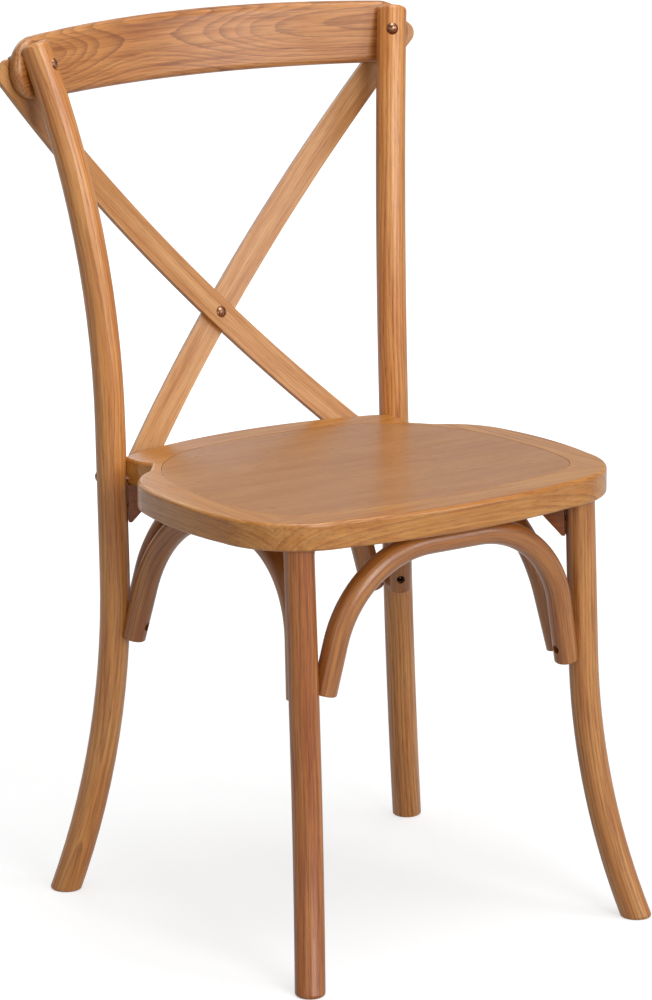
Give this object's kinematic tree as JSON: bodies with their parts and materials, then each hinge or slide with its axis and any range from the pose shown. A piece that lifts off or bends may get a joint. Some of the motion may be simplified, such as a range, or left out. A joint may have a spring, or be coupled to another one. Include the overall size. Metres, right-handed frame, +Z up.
{
  "type": "cross back dining chair",
  "caption": "Bentwood dining chair: curved crest rail, crossed bent slats, round outswept legs, inset seat panel in a rounded frame, and bent arches that brace the legs under the seat.",
  "frame": {"origin": "on the floor, under the middle of the chair's outline", "axes": "+Z up, -Y the way the sitter faces, +X to the sitter's left, x = 0 the plane of symmetry"},
  "size_m": [0.515, 0.5172, 0.8861],
  "materials": {
    "post_wood": "clear satin lacquer on straight-grained honey-coloured wood",
    "leg_wood": "clear satin lacquer on straight-grained honey-coloured wood",
    "crest_wood": "clear satin lacquer on flat-sawn wood with arched grain",
    "slat_wood": "clear satin lacquer on thin bent strips",
    "seat_rim_wood": "clear satin lacquer, grain along each rail",
    "seat_panel_veneer": "fine-grained veneer under satin lacquer",
    "arch_wood": "glossy lacquer on bent round rod",
    "block_wood": "reddish stained wood",
    "bolt_bronze": "dark antique bronze, domed and polished by use",
    "screw_steel": "blackened"
  },
  "bodies": {
    "root": {"back_post_left": "post_wood", "back_post_right": "post_wood", "front_leg_left": "leg_wood", "front_leg_right": "leg_wood", "crest_rail": "crest_wood", "cross_slat_front": "slat_wood", "cross_slat_rear": "slat_wood", "seat_front_rail": "seat_rim_wood", "seat_back_rail": "seat_rim_wood", "seat_left_rail": "seat_rim_wood", "seat_right_rail": "seat_rim_wood", "seat_panel": "seat_panel_veneer", "front_arch": "arch_wood", "back_arch": "arch_wood", "left_arch": "arch_wood", "right_arch": "arch_wood", "corner_block_front_left": "block_wood", "corner_block_front_right": "block_wood", "corner_block_back_left": "block_wood", "corner_block_back_right": "block_wood", "crest_bolts": "bolt_bronze", "crest_nuts": "bolt_bronze", "crossing_bolt": "bolt_bronze", "crossing_nut": "bolt_bronze", "seat_bolts": "bolt_bronze", "slat_screws": "screw_steel", "arch_leg_screws": "screw_steel", "arch_seat_screws": "screw_steel", "corner_block_screws": "screw_steel"}
  },
  "joints": []
}
